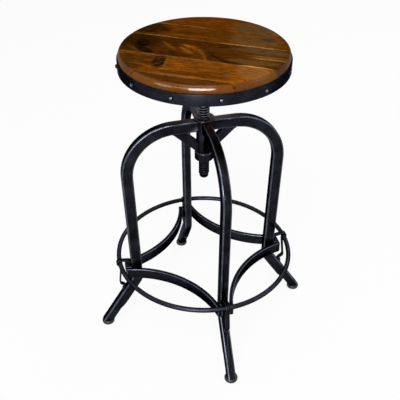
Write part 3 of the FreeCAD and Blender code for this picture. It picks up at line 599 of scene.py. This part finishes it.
def varnishedMango(plankName, seed):
    look = plankLooks[plankName]
    low, high = plankEdges[plankName]
    material, tree, surface, place = newMaterial("varnished_mango_" + plankName[-1])
    seat = addNode(tree, "Mapping", {"vector_type": "TEXTURE", "Rotation": (0, 0, seamTurn)},
                   {"Vector": place}).outputs[0]
    split = addNode(tree, "SeparateXYZ", links={0: seat})

    def around(middle, halves, turn=0):  # place on the seat, counted from a middle in half sizes, in mm
        return addNode(tree, "Mapping", {"vector_type": "TEXTURE", "Rotation": (0, 0, math.radians(turn)),
                                         "Location": (middle[0] / 1000, middle[1] / 1000, seatTop),
                                         "Scale": (halves[0] / 1000, halves[1] / 1000, 1)},
                       {"Vector": seat}).outputs[0]

    def reachFrom(middle, halves, turn=0):  # 0 in the middle, 1 where the half sizes end
        return addNode(tree, "VectorMath", {"operation": "LENGTH"},
                       {0: around(middle, halves, turn)}).outputs["Value"]

    def grain(size, stretch, detail, bend):  # noise of this size, drawn out along the plank
        shiftAlong, shiftAcross = woodLook["shift"]
        drawn = addNode(tree, "Mapping", {"Location": (seed * shiftAlong, seed * shiftAcross, 0),
                                          "Scale": (stretch, 1, 1)}, {"Vector": seat}).outputs[0]
        return addNode(tree, "TexNoise", {"Scale": perMetre(size), "Detail": detail, "Roughness": 0.58,
                                          "Distortion": bend}, {"Vector": drawn}).outputs[0]

    def stained(colour, stain, pattern, start, stop, most, mask=None):
        part = addNode(tree, "MapRange", {"From Min": start, "From Max": stop, "To Max": most},
                       {"Value": pattern}).outputs[0]
        if mask:
            part = addNode(tree, "Math", {"operation": "MULTIPLY"}, {0: part, 1: mask}).outputs[0]
        return addNode(tree, "Mix", {"data_type": "RGBA", 7: linear(stain)},
                       {0: part, 6: colour}).outputs[2]

    walnut = woodLook["walnut"]
    colour = addNode(tree, "ValToRGB", {"stops": [(0.34, look["brown"]), (0.62, look["honey"])]},
                     {"Fac": grain(*woodLook["tone"])}).outputs[0]
    rings = addNode(tree, "TexWave", {"wave_type": "RINGS", "rings_direction": "Z", "Distortion": 5,
                                      "Scale": waveTurn * perMetre(woodLook["ring"]),
                                      "Detail": 3, "Detail Scale": 26},
                    {"Vector": around(look["heart"], (1000 / woodLook["ringStretch"], 1000))}).outputs[1]
    colour = stained(colour, walnut, rings, *woodLook["ringStain"])
    colour = stained(colour, walnut, grain(*woodLook["blotch"]), *woodLook["blotchStain"])
    fleck = grain(*woodLook["fleck"])
    colour = stained(colour, look["honey"], fleck, *woodLook["fleckStain"])
    edge = grain(*woodLook["edge"])
    broken = addNode(tree, "MapRange", {"From Min": 0.38, "From Max": 0.54, "To Min": 0.15},
                     {"Value": grain(*woodLook["break"])}).outputs[0]
    outside, inside = woodLook["markFade"]
    for middle, halves, turn, markColour, strength, ragged in look["marks"]:
        rim = addNode(tree, "Math", {"operation": "MULTIPLY_ADD", 1: ragged},
                      {0: edge, 2: reachFrom(middle, halves, turn)}).outputs[0]
        colour = stained(colour, markColour, rim, outside + ragged / 2, inside + ragged / 2, strength,
                         broken if ragged > woodLook["streaky"] else None)
    if look["saw"]:  # marks of a round saw, which cross the grain in arcs
        turningPoint, middle, halves = look["saw"]
        arcs = addNode(tree, "TexWave", {"wave_type": "RINGS", "rings_direction": "Z", "Distortion": 2,
                                         "Scale": waveTurn * perMetre(woodLook["sawSpacing"])},
                       {"Vector": around(turningPoint, (1000, 1000))}).outputs[1]
        sawn = addNode(tree, "MapRange", {"From Min": 1, "From Max": 0.3},
                       {"Value": reachFrom(middle, halves)}).outputs[0]
        colour = stained(colour, walnut, arcs, *woodLook["sawStain"], sawn)
    colour = stained(colour, look["honey"], fleck, *woodLook["topFleckStain"])
    pore = grain(*woodLook["pore"])
    colour = stained(colour, walnut, pore, *woodLook["poreStain"])

    depth = addNode(tree, "Math", {"operation": "SUBTRACT", 0: seatTop}, {1: split.outputs[2]}).outputs[0]
    flatStop, roundStart = woodLook["shoulderDepth"]
    onShoulder = addNode(tree, "MapRange", {"From Min": flatStop, "From Max": roundStart},
                         {"Value": depth}).outputs[0]
    # rim colour on the rounded edge: the edge's own stain, with painted light making it lighter on the lit
    # front plank
    colour = stained(colour, look["rim"], depth, flatStop, roundStart, woodLook["rimShare"])
    colour = stained(colour, walnut, grain(*woodLook["speck"]), *woodLook["speckStain"], onShoulder)

    fromLow = addNode(tree, "Math", {"operation": "SUBTRACT", 1: low}, {0: split.outputs[1]}).outputs[0]
    fromHigh = addNode(tree, "Math", {"operation": "SUBTRACT", 0: high}, {1: split.outputs[1]}).outputs[0]
    fromSeam = addNode(tree, "Math", {"operation": "MINIMUM"}, {0: fromLow, 1: fromHigh}).outputs[0]
    rubbedStart, rubbedStop = woodLook["rubbedDepth"]
    onTop = addNode(tree, "MapRange", {"From Min": rubbedStart, "From Max": rubbedStop},
                    {"Value": depth}).outputs[0]
    patch = addNode(tree, "MapRange", {"From Min": 0.46, "From Max": 0.62},
                    {"Value": grain(*woodLook["rubbedPatch"])}).outputs[0]
    rubbedPatch = addNode(tree, "Math", {"operation": "MULTIPLY"}, {0: patch, 1: onTop}).outputs[0]
    near, far = woodLook["rubbedWidth"]
    colour = stained(colour, woodLook["rubbed"], fromSeam, far, near, woodLook["rubbedShare"], rubbedPatch)

    smooth, dull = woodLook["gloss"]
    gloss = addNode(tree, "MapRange",
                    {"From Min": noiseLow, "From Max": noiseHigh, "To Min": smooth, "To Max": dull},
                    {"Value": edge})
    poreBump = addNode(tree, "Bump", woodLook["poreBump"], {"Height": pore})
    bump = addNode(tree, "Bump", woodLook["edgeBump"], {"Height": edge, "Normal": poreBump.outputs[0]})
    unrubbed = addNode(tree, "MapRange", {"From Min": near, "From Max": far, "To Max": woodLook["varnish"]},
                       {"Value": fromSeam}).outputs[0]
    varnish = addNode(tree, "Math", {"operation": "MULTIPLY"}, {0: onShoulder, 1: unrubbed})
    surface.inputs["Specular IOR Level"].default_value = 0  # only the varnish at the edge shines
    surface.inputs["Coat Roughness"].default_value = woodLook["varnishRoughness"]
    feedSurface(tree, surface, {"Base Color": colour, "Roughness": gloss.outputs[0],
                                "Normal": bump.outputs[0], "Coat Weight": varnish.outputs[0]})
    return material


wood = bpy.data.collections.new("wood")  # what the lamps for the seat's edge light
for count, plankName in enumerate(plankNames, start=1):
    plank = makePlank(plankName, count)
    wood.objects.link(plank)
    mango = varnishedMango(plankName, count)
    finishPiece(plank, "plank_" + str(count), "seat", mango, plankShape["smooth"])
    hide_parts(plankName)
print("seat planks made:", len(plankNames))

# lifting screw: a round core with a trapezoid ridge wound round it
threadShape = {
    "pitch": 0.006, "crest": 0.0013, "flank": 0.0022, "depth": 0.0018, "sink": 0.0006, "steps": 28,
    "tipRound": 0.005, "tipSteps": 6, "tipLength": 0.006, "runOut": 0.004, "facets": 48, "smooth": 40,
}


def makeLiftScrew():
    lowCorner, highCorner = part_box("lift_screw")
    outside = highCorner.x
    root = outside - threadShape["depth"]
    length = highCorner.z - lowCorner.z
    startPiece()
    bpy.ops.mesh.primitive_cylinder_add(vertices=threadShape["facets"], radius=root, depth=length,
                                        location=(0, 0, (lowCorner.z + highCorner.z) / 2))
    core = bpy.context.object
    bpy.ops.object.transform_apply(location=True, rotation=True, scale=True)
    bpy.ops.object.mode_set(mode="EDIT")
    selectEdges(core, lambda edge: all(vertex.co.z < lowCorner.z + sameHeight for vertex in edge.verts))
    bpy.ops.mesh.bevel(offset=threadShape["tipRound"], segments=threadShape["tipSteps"], affect="EDGES")
    bpy.ops.object.mode_set(mode="OBJECT")
    startPiece()
    bpy.ops.mesh.primitive_plane_add(size=1, location=(0, 0, 0))
    ridge = bpy.context.object
    inner, crest = root - threadShape["sink"], threadShape["crest"] / 2
    foot = crest + threadShape["flank"]
    start = lowCorner.z + threadShape["tipLength"] + foot
    corners = [(inner, -foot), (outside, -crest), (inner, foot), (outside, crest)]
    for vertex, (radius, height) in zip(ridge.data.vertices, corners):
        vertex.co = (radius, 0, start + height)
    winding = ridge.modifiers.new("winding", "SCREW")
    winding.screw_offset = threadShape["pitch"]
    wound = length - threadShape["tipLength"] - 2 * foot - threadShape["runOut"]
    winding.iterations = int(wound / threadShape["pitch"])
    winding.steps = winding.render_steps = threadShape["steps"]
    bpy.ops.object.modifier_apply(modifier="winding")
    bpy.ops.object.mode_set(mode="EDIT")
    bpy.ops.mesh.select_all(action="SELECT")
    bpy.ops.mesh.remove_doubles(threshold=sameSpot)
    bpy.ops.mesh.fill_holes(sides=0)
    bpy.ops.mesh.normals_make_consistent(inside=False)
    bpy.ops.object.mode_set(mode="OBJECT")
    core.select_set(True)
    bpy.context.view_layer.objects.active = core
    bpy.ops.object.join()
    return core


liftScrew = makeLiftScrew()
finishPiece(liftScrew, "threaded_screw", "seat", threadSteel, threadShape["smooth"])
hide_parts("lift_screw")
print("lifting screw made")

# weld beads: rows of overlapping blobs, run together
beadShape = {
    "radius": 0.0026, "pitch": 0.0028, "outset": 0.4,  # the outset from the tube in radii
    "strutShare": 0.45,  # how far up the strut the beads on the tube go
    "strutRow": 0.024, "strutEnd": 0.003,  # the row under the leg, and its stop short of the strut's end
    "sway": 0.0005, "swayScale": 900, "swell": 0.2, "swellScale": 700,
    "voxel": 0.0007, "smoothing": 2, "smooth": 60,
}


def beadLine(start, end):
    count = max(2, round((end - start).length / beadShape["pitch"]))
    return [start.lerp(end, step / count) for step in range(count + 1)]


def turned(place, angle):
    return Vector((place.x * math.cos(angle) - place.y * math.sin(angle),
                   place.x * math.sin(angle) + place.y * math.cos(angle), place.z))


def hubBeadPlaces():
    tubeLow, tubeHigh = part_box("hub_tube")
    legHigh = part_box("leg_right")[1]
    strutLow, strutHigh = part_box("strut_right")
    tubeRadius, beadRadius = tubeHigh.x, beadShape["radius"]
    legHalf, strutHalf = legHigh.y, strutHigh.y
    strutRise = (strutHigh.z - strutLow.z) * beadShape["strutShare"]
    rows = []  # on the right leg and its strut, up the tube and then out along the strut's upper end
    for half, bottom, top in ((legHalf, strutHigh.z, legHigh.z - beadRadius),
                              (strutHalf, strutLow.z + beadRadius, strutLow.z + strutRise)):
        edge = math.sqrt(tubeRadius ** 2 - half ** 2) + beadRadius * beadShape["outset"]
        for sign in (-1, 1):
            rows += beadLine(Vector((edge, sign * half, bottom)), Vector((edge, sign * half, top)))
    for sign in (-1, 1):
        out = Vector((strutHigh.x - beadShape["strutEnd"], sign * strutHalf, strutHigh.z))
        rows += beadLine(out - Vector((beadShape["strutRow"], 0, 0)), out)
    places = [turned(place, quarter * math.pi / 2) for quarter in range(len(sides)) for place in rows]
    count = round(2 * math.pi * tubeRadius / beadShape["pitch"])
    ringStart = Vector((tubeRadius, 0, tubeLow.z))
    return places + [turned(ringStart, 2 * math.pi * step / count) for step in range(count)]


def makeBeads(places):
    startPiece()
    bpy.ops.mesh.primitive_ico_sphere_add(subdivisions=2, radius=beadShape["radius"], location=places[0])
    beads = bpy.context.object
    bpy.ops.object.transform_apply(location=True, rotation=True, scale=True)
    bpy.ops.object.mode_set(mode="EDIT")
    for place in places[1:]:
        sway = noise.noise_vector(place * beadShape["swayScale"]) * beadShape["sway"]
        swell = 1 + beadShape["swell"] * noise.noise(place * beadShape["swellScale"])
        bpy.ops.mesh.primitive_ico_sphere_add(subdivisions=2, radius=beadShape["radius"] * swell,
                                              location=place + sway)
    bpy.ops.object.mode_set(mode="OBJECT")
    melt = beads.modifiers.new("melt", "REMESH")
    melt.voxel_size = beadShape["voxel"]
    bpy.ops.object.modifier_apply(modifier="melt")
    soften = beads.modifiers.new("soften", "SMOOTH")
    soften.iterations = beadShape["smoothing"]
    bpy.ops.object.modifier_apply(modifier="soften")
    return beads


hubBeads = makeBeads(hubBeadPlaces())
finishPiece(hubBeads, "weld_beads_hub", "frame", lacquer, beadShape["smooth"])
print("weld beads made:", len(hubBeads.data.polygons), "faces")

# floor and light: white to the eye and to mirrors, an even studio light on the stool
studio = {"floorSize": 30, "floor": "#f4f4f3", "floorGlow": 0.9, "white": "#ffffff", "ambient": 0.55,
          "target": (0, 0, 0.5)}
# a lamp lights everything, only glosses, or only glosses of the wood
lamps = {
    "key": {"place": (-0.75, -1.6, 2.7), "size": (1.8, 1.0), "power": 46, "lights": "all"},
    "fill": {"place": (2.2, -1.4, 1.6), "size": (1.2, 1.2), "power": 10, "lights": "all"},
    "back": {"place": (2.3, 2.0, 2.4), "size": (1.0, 1.0), "power": 12, "lights": "all"},
    "front": {"place": (-1.15, -2.39, 1.05), "size": (1.0, 1.4), "power": 62, "lights": "gloss"},
    "rimFront": {"place": (-0.84, -2.52, 0.98), "size": (1.4, 0.95), "power": 300, "lights": "woodGloss"},
    "rimLeft": {"place": (-2.21, -1.42, 0.98), "size": (1.8, 0.9), "power": 80, "lights": "woodGloss"},
}


def seenDirectly(tree):  # camera, mirror and glass rays, which all meet the white
    path = addNode(tree, "LightPath")
    pair = addNode(tree, "Math", {"operation": "ADD"}, {0: path.outputs["Is Camera Ray"],
                                                        1: path.outputs["Is Glossy Ray"]})
    return addNode(tree, "Math", {"operation": "ADD", "use_clamp": True},
                   {0: pair.outputs[0], 1: path.outputs["Is Transmission Ray"]}).outputs[0]


def makeFloor():
    startPiece()
    bpy.ops.mesh.primitive_plane_add(size=studio["floorSize"], location=(0, 0, 0))
    floor = bpy.context.object
    floor.name = "floor"
    material = bpy.data.materials.new("white_paper")
    material.use_nodes = True
    tree = material.node_tree
    tree.nodes.clear()
    paper = addNode(tree, "BsdfDiffuse", {"Color": linear(studio["floor"])})
    glow = addNode(tree, "Emission", {"Color": linear(studio["white"]), "Strength": 1})
    share = addNode(tree, "Math", {"operation": "MULTIPLY", 1: studio["floorGlow"]},
                    {0: seenDirectly(tree)})
    mixed = addNode(tree, "MixShader", links={0: share.outputs[0], 1: paper.outputs[0], 2: glow.outputs[0]})
    addNode(tree, "OutputMaterial", links={"Surface": mixed.outputs[0]})
    dress(floor, material)


def makeWorld():
    world = bpy.data.worlds.new("studio")
    bpy.context.scene.world = world
    world.use_nodes = True
    tree = world.node_tree
    tree.nodes.clear()
    soft = addNode(tree, "Background", {"Color": linear(studio["white"]), "Strength": studio["ambient"]})
    white = addNode(tree, "Background", {"Color": linear(studio["white"]), "Strength": 1})
    mixed = addNode(tree, "MixShader",
                    links={0: seenDirectly(tree), 1: soft.outputs[0], 2: white.outputs[0]})
    addNode(tree, "OutputWorld", links={"Surface": mixed.outputs[0]})


def addLamp(name, lamp):
    place = Vector(lamp["place"])
    facing = (Vector(studio["target"]) - place).to_track_quat("-Z", "Y").to_euler()
    bpy.ops.object.light_add(type="AREA", location=place, rotation=facing)
    light = bpy.context.object
    light.name = name
    light.data.shape = "RECTANGLE"
    light.data.size, light.data.size_y = lamp["size"]
    light.data.energy = lamp["power"]
    light.visible_diffuse = lamp["lights"] == "all"
    if lamp["lights"] == "woodGloss":
        light.light_linking.receiver_collection = wood


makeFloor()
makeWorld()
for lampName, lamp in lamps.items():
    addLamp(lampName, lamp)
print("studio lit")
